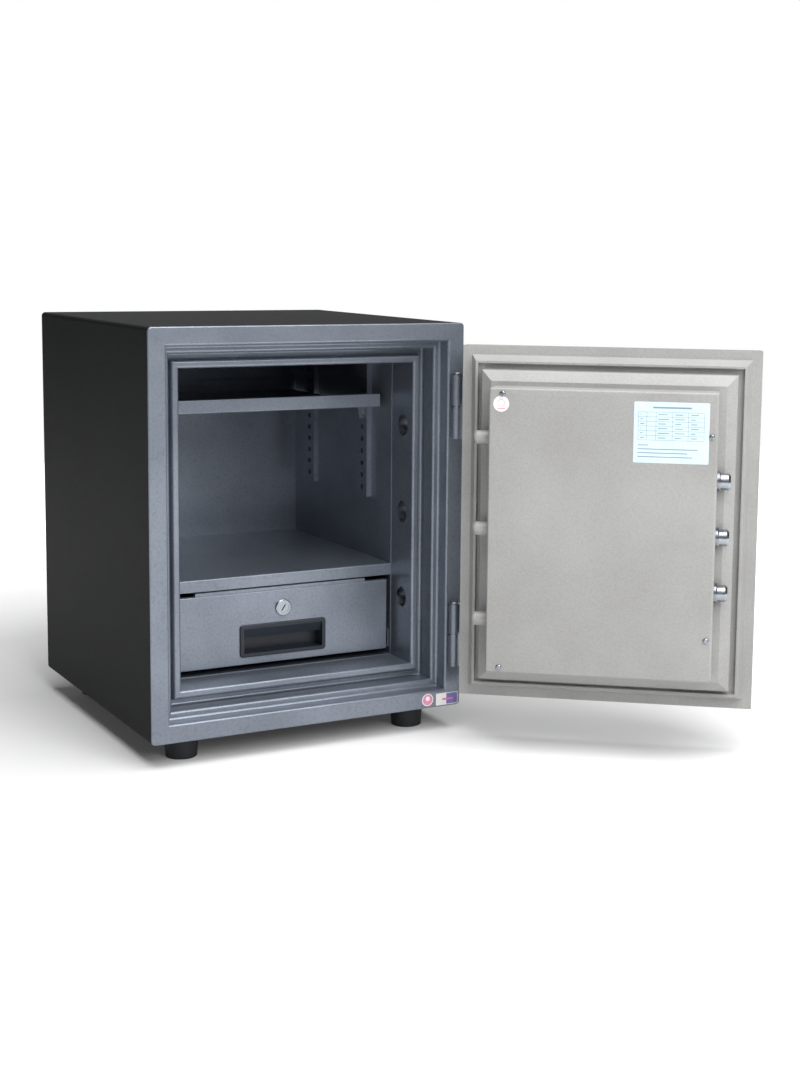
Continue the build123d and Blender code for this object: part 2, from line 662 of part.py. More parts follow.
def through_door_holes():
    """The three round holes through the door, as (x, height, radius)."""
    return [
        (HANDLE_X, HANDLE_HEIGHT, SPINDLE_RADIUS + 0.6),
        (DIAL_X, DIAL_HEIGHT, DIAL_SPINDLE_RADIUS + 0.6),
        (KEY_X, KEY_HEIGHT, KEY_BARREL_RADIUS),
    ]


def drilled(shape):
    """The shape with the three through holes cut."""
    for x, z, radius in through_door_holes():
        shape -= rod((x, depth(-1), z), (x, depth(PLUG_TOP + 1), z), radius)
    return shape


def door_plate():
    plate = door_block(0, 0, DOOR_EDGE)
    plate = fillet(plate.edges().filter_by(Axis.Y), 2.5)
    plate = fillet(plate.faces().sort_by(Axis.Y)[0].edges(), 2.0)
    return drilled(plate - door_block(DOOR_SKIN, DOOR_SKIN, DOOR_EDGE + 1))


def door_liner():
    line = [
        (PLUG_TOP_INSET + 8, PLUG_TOP),
        (PLUG_TOP_INSET, PLUG_TOP),
        (PLUG_INSET, PLUG_DEPTH),
        (PLUG_INSET, DOOR_GROOVE_DEPTH),
        (DOOR_GROOVE, DOOR_GROOVE_DEPTH),
        (DOOR_GROOVE, RIDGE_DEPTH),
        (RIDGE_TOP, RIDGE_DEPTH),
        (RIDGE_FOOT, DOOR_BACK),
        (0, DOOR_BACK),
    ]
    liner = bent_frame(line, LINER_SHEET, DOOR_ROUNDING, DOOR_HALF, DOOR_BOTTOM, DOOR_TOP)
    liner += door_block(PLUG_TOP_INSET + 6, PLUG_TOP - LINER_SHEET, PLUG_TOP)
    return drilled(liner)


def door_fill():
    base_end = min(DOOR_EDGE, DOOR_GROOVE_DEPTH - LINER_SHEET) - FILL_MARGIN
    fill = door_block(DOOR_SKIN, DOOR_SKIN, base_end)
    fill += door_block(PLUG_INSET + LINER_SHEET + 0.6, DOOR_SKIN, PLUG_DEPTH - 2)
    fill += door_block(PLUG_TOP_INSET + LINER_SHEET, DOOR_SKIN, PLUG_TOP - LINER_SHEET)
    return drilled(fill)


# Lock cover and what is fixed behind it


def cover_sides():
    """The X of the cover's free side and of its hinge side."""
    return COVER_INSET_FREE - DOOR_HALF, DOOR_HALF - COVER_INSET_HINGE


def lock_cover():
    x0, x1 = cover_sides()
    z0, z1 = DOOR_BOTTOM + COVER_INSET_ENDS, DOOR_TOP - COVER_INSET_ENDS
    y0, y1 = depth(PLUG_TOP), depth(COVER_TOP)
    cover = block(x0, x1, y0, y1, z0, z1)
    cover = fillet(cover.edges().filter_by(Axis.Y), COVER_ROUNDING)
    cover = fillet(cover.faces().sort_by(Axis.Y)[-1].edges(), COVER_ROUNDING * 0.8)
    sheet = LINER_SHEET
    cover -= block(x0 + sheet, x1 - sheet, y0 - 1, y1 - sheet, z0 + sheet, z1 - sheet)
    y = depth(BOLT_AXIS_DEPTH)
    for z in bolt_heights():
        cover -= rod((x0 - 1, y, z), (x0 + 5, y, z), BOLT_RADIUS + FREE_GAP)
    for z in stud_heights():
        cover -= rod((x1 - 5, y, z), (x1 + 1, y, z), STUD_RADIUS)
    for x, z in cover_screw_places():
        cover -= rod((x, y1 - 5, z), (x, y1 + 1, z), 2.2)
    return cover


def cover_screw_places():
    x0, x1 = cover_sides()
    hinge_x = x1 - COVER_SCREW_FROM_HINGE_EDGE
    free_x = x0 + COVER_SCREW_FROM_FREE_EDGE
    from_end = COVER_INSET_ENDS + COVER_SCREW_FROM_END
    return [
        (hinge_x, DOOR_TOP - from_end),
        (hinge_x, DOOR_BOTTOM + from_end),
        (free_x, MIDDLE + COVER_SCREW_SPREAD),
        (free_x, MIDDLE - COVER_SCREW_SPREAD),
    ]


def bolt_bush(z):
    """A plated collar on the cover's side that steadies one live bolt, flat against the plug."""
    x0, y = cover_sides()[0], depth(BOLT_AXIS_DEPTH)
    radius = BOLT_RADIUS + BUSH_WALL
    collar = rod((x0 - BUSH_LENGTH, y, z), (x0, y, z), radius)
    collar = chamfer(collar.edges().group_by(Axis.X)[0], BUSH_WALL * 0.5)
    collar -= block(x0 - BUSH_LENGTH - 1, x0 + 1, y - radius, depth(PLUG_TOP), z - radius, z + radius)
    return collar - rod((x0 - BUSH_LENGTH - 1, y, z), (x0 + 1, y, z), BOLT_RADIUS + FREE_GAP)


def cover_post(x, z):
    y0, y1 = depth(PLUG_TOP), depth(COVER_TOP - LINER_SHEET)
    return rod((x, y0, z), (x, y1, z), 4.5) - rod((x, y1 - 12, z), (x, y1 + 1, z), 2.0)


def cover_screw(x, z):
    y = depth(COVER_TOP)
    head = rod((x, y, z), (x, y + 2.4, z), 3.6)
    head = fillet(head.edges().group_by(Axis.Y)[-1], 2.0)
    head -= block(x - 3, x + 3, y + 1.5, y + 3, z - 0.5, z + 0.5)
    head -= block(x - 0.5, x + 0.5, y + 1.5, y + 3, z - 3, z + 3)
    return head + rod((x, y - 12, z), (x, y, z), 2.0)


def fixed_stud(z):
    x1 = cover_sides()[1]
    tip = OPENING + STUD_REACH
    y = depth(BOLT_AXIS_DEPTH)
    stud = rod((x1 - LINER_SHEET - 4, y, z), (tip, y, z), STUD_RADIUS)
    return fillet(stud.edges().group_by(Axis.X)[-1], STUD_RADIUS * 0.7)


def stud_rail():
    x = cover_sides()[1] - LINER_SHEET - 4
    y0, y1 = depth(PLUG_TOP), depth(PLUG_TOP + 22)
    reach = STUD_PITCH + 16
    return block(x - 6, x, y0, y1, MIDDLE - reach, MIDDLE + reach)


def guide_x():
    """The X of the guide plate's face nearest the free side."""
    return cover_sides()[0] + 12.5


def bolt_guide():
    x = guide_x()
    reach = BOLT_PITCH + 22
    top = depth(COVER_TOP - LINER_SHEET - 2.5)
    plate = block(x, x + 4, depth(PLUG_TOP), top, MIDDLE - reach, MIDDLE + reach)
    foot_plate = block(x, x + 8, depth(PLUG_TOP), depth(PLUG_TOP + 3), MIDDLE + reach - 9, MIDDLE + reach)
    plate += foot_plate + mirror(foot_plate, about=Plane(origin=(0, 0, MIDDLE), z_dir=(0, 0, 1)))
    y = depth(BOLT_AXIS_DEPTH)
    for z in bolt_heights():
        plate -= rod((x - 1, y, z), (x + 11, y, z), BOLT_RADIUS + RUNNING_GAP)
    return plate


# Live bolts and the work that drives them


def live_bolt(z):
    y = depth(BOLT_AXIS_DEPTH)
    bolt = rod((BOLT_END, y, z), (BAR_X, y, z), BOLT_RADIUS)
    bolt = chamfer(bolt.edges().group_by(Axis.X)[0], BOLT_CHAMFER)
    return bolt + rod((BAR_X, y, z), (BAR_X + BAR_THICKNESS, y, z), 5.0)


def bolt_carriage():
    """The bar that joins the live bolts, with the arm the crank pushes."""
    y = depth(BOLT_AXIS_DEPTH)
    reach = BOLT_PITCH + 18
    bar = block(BAR_X, BAR_X + BAR_THICKNESS, y - 9, y + 9, MIDDLE - reach, MIDDLE + reach)
    y0, y1 = depth(ARM_BOTTOM_DEPTH), depth(ARM_TOP_DEPTH)
    arm = block(BAR_X + BAR_THICKNESS - 1, DIAL_X, y0, y1, HANDLE_HEIGHT - 19, HANDLE_HEIGHT + 25)
    arm += block(DIAL_X - 6, DIAL_X, y0, y1, HANDLE_HEIGHT + 20, HANDLE_HEIGHT + 37)
    carriage = bar + arm
    for z in bolt_heights():
        carriage -= rod((BAR_X - 1, y, z), (BAR_X + BAR_THICKNESS, y, z), 5.0)
    slot_x = HANDLE_X + BOLT_THROW / 2
    slot_half = CRANK_PIN_RADIUS + CRANK_SLOT_GAP
    slot_low = HANDLE_HEIGHT - CRANK_RADIUS - CRANK_PIN_RADIUS - 0.4
    slot = block(slot_x - slot_half, slot_x + slot_half, y0 - 1, y1 + 1, slot_low, HANDLE_HEIGHT - 7)
    return carriage - slot


def crank_pin_place():
    """The crank pin's X and height with the bolts drawn back."""
    angle = math.radians(CRANK_TRAVEL / 2)
    return HANDLE_X + CRANK_RADIUS * math.sin(angle), HANDLE_HEIGHT - CRANK_RADIUS * math.cos(angle)


def drive_crank():
    x, z = HANDLE_X, HANDLE_HEIGHT
    y0, y1 = depth(PLUG_TOP + 4), depth(ARM_BOTTOM_DEPTH - 1)
    crank = tube((x, y0, z), (x, y1, z), CRANK_RADIUS + 5, SPINDLE_RADIUS)
    pin_x, pin_z = crank_pin_place()
    return crank + rod((pin_x, y1, pin_z), (pin_x, depth(ARM_TOP_DEPTH + 1.5), pin_z), CRANK_PIN_RADIUS)


def handle_spindle():
    x, z = HANDLE_X, HANDLE_HEIGHT
    return rod((x, depth(-14), z), (x, depth(ARM_BOTTOM_DEPTH - 1), z), SPINDLE_RADIUS)


def handle_rosette():
    x, z = HANDLE_X, HANDLE_HEIGHT
    disc = rod((x, depth(-5), z), (x, depth(0), z), 24)
    disc = fillet(disc.edges().group_by(Axis.Y)[0], 2.0)
    return disc - rod((x, depth(-6), z), (x, depth(1), z), SPINDLE_RADIUS + 0.6)


def lever_handle():
    """A lever that hangs down with the bolts drawn back."""
    x, z = HANDLE_X, HANDLE_HEIGHT
    hub = rod((x, depth(-32), z), (x, depth(-5.5), z), 15)
    hub = fillet(hub.edges().group_by(Axis.Y)[0], 3.0)
    arm = block(x - 8, x + 8, depth(-30), depth(-19), z - 95, z)
    arm = fillet(arm.edges().filter_by(Axis.Z), 4.0)
    arm = fillet(arm.edges().group_by(Axis.Z)[0], 2.0)
    return hub + arm - rod((x, depth(-14), z), (x, depth(-5), z), SPINDLE_RADIUS)


def dial_ring():
    x, z = DIAL_X, DIAL_HEIGHT
    ring = rod((x, depth(-7), z), (x, depth(0), z), 42)
    ring = fillet(ring.edges().group_by(Axis.Y)[0], 2.5)
    ring -= rod((x, depth(-8), z), (x, depth(-2), z), 33)
    return ring - rod((x, depth(-3), z), (x, depth(1), z), DIAL_SPINDLE_RADIUS + 0.6)


def combination_dial():
    x, z = DIAL_X, DIAL_HEIGHT
    skirt = rod((x, depth(-9), z), (x, depth(-2.6), z), 32)
    skirt = chamfer(skirt.edges().group_by(Axis.Y)[0], 2.0)
    knob = rod((x, depth(-28), z), (x, depth(-9), z), 17)
    knob = fillet(knob.edges().group_by(Axis.Y)[0], 2.5)
    for step in range(18):
        angle = math.radians(step * 20)
        gx, gz = x + 17.6 * math.cos(angle), z + 17.6 * math.sin(angle)
        knob -= rod((gx, depth(-30), gz), (gx, depth(-9), gz), 1.6)
    return skirt + knob - rod((x, depth(-14), z), (x, depth(-2), z), DIAL_SPINDLE_RADIUS)


def dial_spindle():
    x, z = DIAL_X, DIAL_HEIGHT
    return rod((x, depth(-14), z), (x, depth(PLUG_TOP + 16), z), DIAL_SPINDLE_RADIUS)


def tongue_place():
    """The tongue's X limits, depth limits and lower end with the lock open."""
    return DIAL_X - 18, DIAL_X - 8, BOLT_AXIS_DEPTH - 3, BOLT_AXIS_DEPTH + 7, HANDLE_HEIGHT + 39


def lock_case():
    x, z = DIAL_X, DIAL_HEIGHT
    case = block(x - 32, x + 32, depth(PLUG_TOP), depth(PLUG_TOP + 25), z - 38, z + 38)
    case = fillet(case.edges().filter_by(Axis.Y), 5.0)
    x0, x1, d0, d1, low = tongue_place()
    gap = FREE_GAP
    case -= block(x0 - gap, x1 + gap, depth(d0) - gap, depth(d1) + gap, low - 1, low + 46 + gap)
    bore_radius = DIAL_SPINDLE_RADIUS + RUNNING_GAP
    return case - rod((x, depth(PLUG_TOP - 1), z), (x, depth(PLUG_TOP + 16.5), z), bore_radius)


def lock_tongue():
    x0, x1, d0, d1, low = tongue_place()
    return block(x0, x1, depth(d0), depth(d1), low, low + 46)


def key_barrel():
    x, z = KEY_X, KEY_HEIGHT
    flange = rod((x, depth(-4), z), (x, depth(0), z), 14)
    flange = fillet(flange.edges().group_by(Axis.Y)[0], 1.5)
    barrel = flange + rod((x, depth(0), z), (x, depth(PLUG_TOP + 10), z), KEY_BARREL_RADIUS)
    return barrel - rod((x, depth(-5), z), (x, depth(PLUG_TOP + 11), z), KEY_PLUG_RADIUS + RUNNING_GAP)


def key_plug():
    x, z = KEY_X, KEY_HEIGHT
    plug = rod((x, depth(-3.4), z), (x, depth(PLUG_TOP + 12), z), KEY_PLUG_RADIUS)
    return plug - block(x - 0.9, x + 0.9, depth(-4), depth(20), z - 4, z + 4)


# The whole safe


def fixed_and_drawer_nodes():
    nodes = {
        "outer_shell": outer_shell(),
        "back_panel": back_panel(),
        "body_fill": body_fill(),
        "front_frame": front_frame(),
        "cavity_liner": cavity_liner(),
        "stud_sockets": stud_sockets(),
        "bolt_sockets": bolt_sockets(),
        "shelf_clips": shelf_clips(),
        "upper_shelf": upper_shelf(),
        "fixed_shelf": fixed_shelf(),
        "foot_bolts": group(foot_bolt(x, y) for x, y in foot_centres()),
        "hinge_washers": group(hinge_washer(z) for z in hinge_heights()),
        "drawer_tray": drawer_tray(),
        "drawer_front": drawer_front(),
        "drawer_pull": drawer_pull(),
        "drawer_lock_body": drawer_lock_body(),
        "drawer_lock_nut": drawer_lock_nut(),
        "drawer_lock_plug": drawer_lock_plug(),
        "drawer_lock_cam": drawer_lock_cam(),
    }
    for side, side_name in ((-1, "left"), (1, "right")):
        nodes[f"drawer_runner_{side_name}"] = drawer_runner(side)
        for front, name in zip(PILASTER_FRONT_DEPTHS, ("front", "rear")):
            nodes[f"pilaster_{name}_{side_name}"] = pilaster(side, front)
    foot_names = ("front_left", "front_right", "rear_left", "rear_right")
    for name, (x, y) in zip(foot_names, foot_centres()):
        nodes[f"foot_{name}"] = foot(x, y)
    for name, z in zip(("lower", "upper"), hinge_heights()):
        nodes[f"body_knuckle_{name}"] = body_knuckle(z)
        nodes[f"hinge_pin_{name}"] = hinge_pin(z)
    return nodes


def door_nodes():
    nodes = {
        "door_plate": door_plate(),
        "door_liner": door_liner(),
        "door_fill": door_fill(),
        "lock_cover": lock_cover(),
        "cover_posts": group(cover_post(x, z) for x, z in cover_screw_places()),
        "cover_screws": group(cover_screw(x, z) for x, z in cover_screw_places()),
        "fixed_studs": group(fixed_stud(z) for z in stud_heights()),
        "stud_rail": stud_rail(),
        "bolt_bushes": group(bolt_bush(z) for z in bolt_heights()),
        "bolt_guide": bolt_guide(),
        "bolt_carriage": bolt_carriage(),
        "drive_crank": drive_crank(),
        "handle_spindle": handle_spindle(),
        "handle_rosette": handle_rosette(),
        "lever_handle": lever_handle(),
        "dial_ring": dial_ring(),
        "combination_dial": combination_dial(),
        "dial_spindle": dial_spindle(),
        "lock_case": lock_case(),
        "lock_tongue": lock_tongue(),
        "key_barrel": key_barrel(),
        "key_plug": key_plug(),
    }
    for name, z in zip(("lower", "upper"), hinge_heights()):
        nodes[f"door_knuckle_{name}"] = door_knuckle(z)
    for name, z in zip(("lower", "middle", "upper"), bolt_heights()):
        nodes[f"live_bolt_{name}"] = live_bolt(z)
    return nodes


def main():
    os.makedirs("parts", exist_ok=True)
    hinge = Pos(HINGE_X, HINGE_Y, 0)
    swing = hinge * Rot(0, 0, DOOR_OPEN_ANGLE) * Pos(-HINGE_X, -HINGE_Y, 0)
    nodes = fixed_and_drawer_nodes()
    for name, shape in door_nodes().items():
        nodes[name] = swing * shape
    lift = Pos(0, 0, FOOT_HEIGHT)
    for name, shape in nodes.items():
        solids = [lift * solid for solid in shape.solids()]
        export_step(solids[0] if len(solids) == 1 else group(solids), f"parts/{name}.step")


main()
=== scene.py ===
import json
import math

import bmesh
import bpy
from mathutils import Matrix, Vector


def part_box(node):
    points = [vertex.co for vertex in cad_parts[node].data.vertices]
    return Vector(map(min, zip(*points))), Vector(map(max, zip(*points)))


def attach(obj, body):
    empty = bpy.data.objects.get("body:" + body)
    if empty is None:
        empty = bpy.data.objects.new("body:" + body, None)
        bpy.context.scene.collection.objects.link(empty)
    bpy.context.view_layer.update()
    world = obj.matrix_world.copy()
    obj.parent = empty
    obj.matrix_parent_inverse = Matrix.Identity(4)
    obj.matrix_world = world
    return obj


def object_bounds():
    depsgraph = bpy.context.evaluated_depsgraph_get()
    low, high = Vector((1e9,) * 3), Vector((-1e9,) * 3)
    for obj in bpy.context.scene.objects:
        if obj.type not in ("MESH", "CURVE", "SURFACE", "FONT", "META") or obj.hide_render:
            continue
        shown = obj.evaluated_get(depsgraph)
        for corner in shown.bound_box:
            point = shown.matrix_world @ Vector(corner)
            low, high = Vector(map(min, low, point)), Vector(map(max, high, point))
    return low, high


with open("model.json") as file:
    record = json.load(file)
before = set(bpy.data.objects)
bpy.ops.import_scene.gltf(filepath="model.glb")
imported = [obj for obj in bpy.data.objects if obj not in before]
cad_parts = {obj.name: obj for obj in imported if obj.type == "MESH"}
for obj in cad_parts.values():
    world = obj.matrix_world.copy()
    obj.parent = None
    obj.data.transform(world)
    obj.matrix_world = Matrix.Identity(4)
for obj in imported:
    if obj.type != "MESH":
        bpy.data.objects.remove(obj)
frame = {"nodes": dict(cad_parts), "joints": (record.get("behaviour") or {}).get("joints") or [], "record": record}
cad_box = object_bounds()

MM = 0.001
NODES = frame["nodes"]
JOINTS = {joint["name"]: joint for joint in frame["joints"]}
SLOT_OF_NODE = {row["node"]: row["material_slot"] for row in frame["record"]["subparts"]}

# The door's own directions as it stands open: towards its free edge, and out of its inner face
HINGE = Vector(JOINTS["door_hinge"]["pos_m"])
TO_FREE_EDGE = Vector(JOINTS["bolt_slide"]["axis"])
OUT_OF_DOOR_BACK = Vector(JOINTS["handle_turn"]["axis"])
UP = Vector((0, 0, 1))
RIGHT = Vector((1, 0, 0))


# Colours and nodes


def paint(hex_code, alpha=1.0):
    """An sRGB hex colour as linear light."""
    channels = [int(hex_code[i:i + 2], 16) / 255 for i in (1, 3, 5)]
    linear = [c / 12.92 if c <= 0.04045 else ((c + 0.055) / 1.055) ** 2.4 for c in channels]
    return (*linear, alpha)


def add(tree, kind, settings=None, **links):
    """One node with its settings; a link is named by its socket, with underscores for spaces, or
    by in and the socket's number."""
    node = tree.nodes.new(kind)
    for name, value in (settings or {}).items():
        if hasattr(node, name):
            setattr(node, name, value)
        else:
            node.inputs[name].default_value = value
    for name, source in links.items():
        wanted = name.replace("_", " ")
        socket = node.inputs[int(name[2:])] if name.startswith("in") else node.inputs[wanted]
        tree.links.new(source, socket)
    return node


def blank_material(name):
    material = bpy.data.materials.new(name)
    material.use_nodes = True
    tree = material.node_tree
    tree.nodes.clear()
    return material, tree


def finish_material(material, tree, settings, **links):
    shader = add(tree, "ShaderNodeBsdfPrincipled", settings, **links)
    output = add(tree, "ShaderNodeOutputMaterial")
    tree.links.new(shader.outputs["BSDF"], output.inputs["Surface"])
    return material


def ramp(tree, source, stops):
    """A colour ramp with these (place, hex) stops."""
    node = add(tree, "ShaderNodeValToRGB", Fac=source)
    elements = node.color_ramp.elements
    while len(elements) < len(stops):
        elements.new(0.5)
    for element, (place, colour) in zip(elements, stops):
        element.position = place
        element.color = paint(colour)
    return node.outputs["Color"]


def per_metre(spacing_mm):
    """The texture scale that repeats every so many millimetres."""
    return 1000.0 / spacing_mm


# Finishes


def metallic_enamel():
    """Stoved metallic enamel on steel: fine aluminium flake in grey enamel flows into faint dimples
    3 mm apart, which soften its silvery sheen without breaking it up."""
    material, tree = blank_material("grey_metallic_enamel")
    place = add(tree, "ShaderNodeTexCoord").outputs["Object"]
    dimples = add(
        tree, "ShaderNodeTexVoronoi",
        {"feature": "SMOOTH_F1", "Scale": per_metre(3.0), "Smoothness": 0.6, "Randomness": 0.9},
        Vector=place,
    ).outputs["Distance"]
    drift = add(
        tree, "ShaderNodeTexNoise", {"Scale": per_metre(90.0), "Detail": 3.0}, Vector=place
    ).outputs["Fac"]
    pooled = ramp(tree, dimples, [(0.15, "#828994"), (0.6, "#7d848f"), (0.85, "#767d87")])
    thin = ramp(tree, drift, [(0.35, "#e9eaec"), (0.65, "#ffffff")])
    colour = add(
        tree, "ShaderNodeMix",
        {"data_type": "RGBA", "blend_type": "MULTIPLY", "Factor": 1.0}, in6=pooled, in7=thin,
    )
    gloss = add(
        tree, "ShaderNodeMapRange",
        {"From Min": 0.1, "From Max": 0.8, "To Min": 0.32, "To Max": 0.38}, Value=dimples,
    ).outputs["Result"]
    relief = add(
        tree, "ShaderNodeBump", {"Strength": 0.05, "Distance": 0.25 * MM}, Height=dimples
    ).outputs["Normal"]
    return finish_material(
        material, tree,
        {"Metallic": 0.65, "Coat Weight": 0.2, "Coat Roughness": 0.2},
        Base_Color=colour.outputs[2], Roughness=gloss, Normal=relief,
    )


def wrinkle_enamel(name, light, dark, spacing, strength, roughness, sheen=0.5):
    """Stoved texture enamel: the film shrinks into fine even pimples as it bakes, which scatter the
    light into a satin sheen with a faint grain."""
    material, tree = blank_material(name)
    place = add(tree, "ShaderNodeTexCoord").outputs["Object"]
    pimples = add(
        tree, "ShaderNodeTexNoise",
        {"Scale": per_metre(spacing), "Detail": 2.5, "Roughness": 0.55}, Vector=place,
    ).outputs["Fac"]
    drift = add(
        tree, "ShaderNodeTexNoise", {"Scale": per_metre(120.0), "Detail": 3.0}, Vector=place
    ).outputs["Fac"]
    grain = ramp(tree, pimples, [(0.35, dark), (0.62, light)])
    thin = ramp(tree, drift, [(0.35, "#f0efee"), (0.65, "#ffffff")])
    colour = add(
        tree, "ShaderNodeMix",
        {"data_type": "RGBA", "blend_type": "MULTIPLY", "Factor": 1.0}, in6=grain, in7=thin,
    )
    gloss = add(
        tree, "ShaderNodeMapRange",
        {"From Min": 0.3, "From Max": 0.7, "To Min": roughness - 0.05, "To Max": roughness + 0.05},
        Value=pimples,
    ).outputs["Result"]
    relief = add(
        tree, "ShaderNodeBump", {"Strength": strength, "Distance": 0.2 * MM}, Height=pimples
    ).outputs["Normal"]
    return finish_material(
        material, tree, {"Metallic": 0.0, "IOR": 1.5, "Specular IOR Level": sheen},
        Base_Color=colour.outputs[2], Roughness=gloss, Normal=relief,
    )


def plated_metal(name, light, dark, roughness, spacing, strength=0.05):
    """Plated or turned steel: a bright metal skin with faint clouding and polishing marks."""
    material, tree = blank_material(name)
    place = add(tree, "ShaderNodeTexCoord").outputs["Object"]
    cloud = add(
        tree, "ShaderNodeTexNoise", {"Scale": per_metre(spacing), "Detail": 4.0}, Vector=place
    ).outputs["Fac"]
    marks = add(
        tree, "ShaderNodeTexNoise", {"Scale": per_metre(0.8), "Detail": 1.0}, Vector=place
    ).outputs["Fac"]
    colour = ramp(tree, cloud, [(0.3, dark), (0.7, light)])
    gloss = add(
        tree, "ShaderNodeMapRange",
        {"From Min": 0.3, "From Max": 0.7, "To Min": roughness * 0.8, "To Max": roughness * 1.25},
        Value=cloud,
    ).outputs["Result"]
    relief = add(
        tree, "ShaderNodeBump", {"Strength": strength, "Distance": 0.05 * MM}, Height=marks
    ).outputs["Normal"]
    return finish_material(
        material, tree, {"Metallic": 1.0},
        Base_Color=colour, Roughness=gloss, Normal=relief,
    )


def moulded_polymer(name, light, dark, spacing, roughness, strength, ior):
    """Moulded plastic or rubber: a spark-eroded tool leaves a fine even grain."""
    material, tree = blank_material(name)
    place = add(tree, "ShaderNodeTexCoord").outputs["Object"]
    grain = add(
        tree, "ShaderNodeTexNoise", {"Scale": per_metre(spacing), "Detail": 3.0}, Vector=place
    ).outputs["Fac"]
    colour = ramp(tree, grain, [(0.35, dark), (0.65, light)])
    gloss = add(
        tree, "ShaderNodeMapRange",
        {"From Min": 0.3, "From Max": 0.7, "To Min": roughness - 0.06, "To Max": roughness + 0.06},
        Value=grain,
    ).outputs["Result"]
    relief = add(
        tree, "ShaderNodeBump", {"Strength": strength, "Distance": 0.15 * MM}, Height=grain
    ).outputs["Normal"]
    return finish_material(
        material, tree, {"Metallic": 0.0, "IOR": ior},
        Base_Color=colour, Roughness=gloss, Normal=relief,
    )


def printed_paper(name, light, dark, roughness=0.35):
    """Coated label paper or print on it: a thin smooth film with a barely uneven tint."""
    material, tree = blank_material(name)
    place = add(tree, "ShaderNodeTexCoord").outputs["Object"]
    tint = add(
        tree, "ShaderNodeTexNoise", {"Scale": per_metre(25.0), "Detail": 2.0}, Vector=place
    ).outputs["Fac"]
    fibre = add(
        tree, "ShaderNodeTexNoise", {"Scale": per_metre(0.6), "Detail": 2.0}, Vector=place
    ).outputs["Fac"]
    colour = ramp(tree, tint, [(0.35, dark), (0.65, light)])
    relief = add(
        tree, "ShaderNodeBump", {"Strength": 0.08, "Distance": 0.03 * MM}, Height=fibre
    ).outputs["Normal"]
    return finish_material(
        material, tree, {"Metallic": 0.0, "IOR": 1.48, "Roughness": roughness},
        Base_Color=colour, Normal=relief,
    )


FINISHES = {
    "shell_paint": wrinkle_enamel(
        "charcoal_texture_enamel", "#161718", "#131415", 1.6, 0.22, 0.6, 0.1
    ),
    "frame_paint": metallic_enamel(),
    "door_paint": wrinkle_enamel(
        "taupe_texture_enamel", "#a0a09e", "#989897", 2.4, 0.16, 0.42
    ),
    "mineral_fill": moulded_polymer(
        "cast_mineral_fill", "#aaa59b", "#8f8a80", 2.0, 0.85, 0.6, 1.45
    ),
    "zinc_steel": plated_metal("bright_zinc_plate", "#9a9ea3", "#81868b", 0.3, 14.0),
    "bolt_chrome": plated_metal("chrome_plate", "#a3a8ae", "#93989f", 0.26, 30.0),
    "black_plastic": moulded_polymer(
        "black_moulded_abs", "#0e1826", "#0a121d", 0.8, 0.42, 0.14, 1.53
    ),
    "brass": plated_metal("machined_brass", "#c9a45c", "#a98443", 0.25, 12.0),
    "foot_rubber": moulded_polymer(
        "moulded_rubber", "#11151b", "#0d1015", 1.2, 0.62, 0.2, 1.52
    ),
}
LABEL_PAPER = printed_paper("pale_blue_label_paper", "#ccdfe6", "#c5d9e1")
WHITE_PAPER = printed_paper("white_sticker_paper", "#e9e7e6", "#dedbda")
GREY_INK = printed_paper("grey_printing_ink", "#7f98a6", "#738d9c", 0.5)
PINK_INK = printed_paper("pink_printing_ink", "#d989a6", "#cc7c9b", 0.4)
VIOLET_INK = printed_paper("violet_printing_ink", "#7f78b4", "#6f69a8", 0.4)
WHITE_PAINT = printed_paper("white_filling_paint", "#e6e6e2", "#dcdcd7", 0.5)

# The door's hinge leaves carry the frame's paint, and the stud sockets are bare plated cups
OTHER_FINISH = {
    "door_knuckle_upper": "frame_paint",
    "door_knuckle_lower": "frame_paint",
    "stud_sockets": "zinc_steel",
}

for node_name, node_object in NODES.items():
    finish = OTHER_FINISH.get(node_name, SLOT_OF_NODE[node_name])
    node_object.data.materials.clear()
    node_object.data.materials.append(FINISHES[finish])


# Making and placing pieces


def reach(node_name, direction):
    """How far a CAD node goes along a direction from the hinge axis: its least and its most."""
    places = [(v.co - HINGE).dot(direction) for v in NODES[node_name].data.vertices]
    return min(places), max(places)


def stand(right, up, corner):
    """The placement of a flat piece drawn in X and Y, facing along its Z."""
    out = right.cross(up)
    turned = Matrix((right, up, out)).transposed().to_4x4()
    return Matrix.Translation(corner) @ turned


def slab(mesh, points, low, high, material_index):
    """A flat plate of one outline between two heights, added to a mesh being built."""
    bottom = [mesh.verts.new((x, y, low)) for x, y in points]
    top = [mesh.verts.new((x, y, high)) for x, y in points]
    faces = [mesh.faces.new(bottom[::-1]), mesh.faces.new(top)]
    for i in range(len(points)):
        j = (i + 1) % len(points)
        faces.append(mesh.faces.new((bottom[i], bottom[j], top[j], top[i])))
    for face in faces:
        face.material_index = material_index


def rounded_box(x0, y0, x1, y1, radius, steps=6):
    """The outline of a rectangle with round corners."""
    points = []
    corners = [(x1, y1, 0), (x0, y1, 90), (x0, y0, 180), (x1, y0, 270)]
    for cx, cy, start in corners:
        ox = cx - radius if cx == x1 else cx + radius
        oy = cy - radius if cy == y1 else cy + radius
        for step in range(steps + 1):
            angle = math.radians(start + 90 * step / steps)
            points.append((ox + radius * math.cos(angle), oy + radius * math.sin(angle)))
    return points


def disc(cx, cy, radius, steps=48):
    turns = [math.tau * step / steps for step in range(steps)]
    return [(cx + radius * math.cos(turn), cy + radius * math.sin(turn)) for turn in turns]


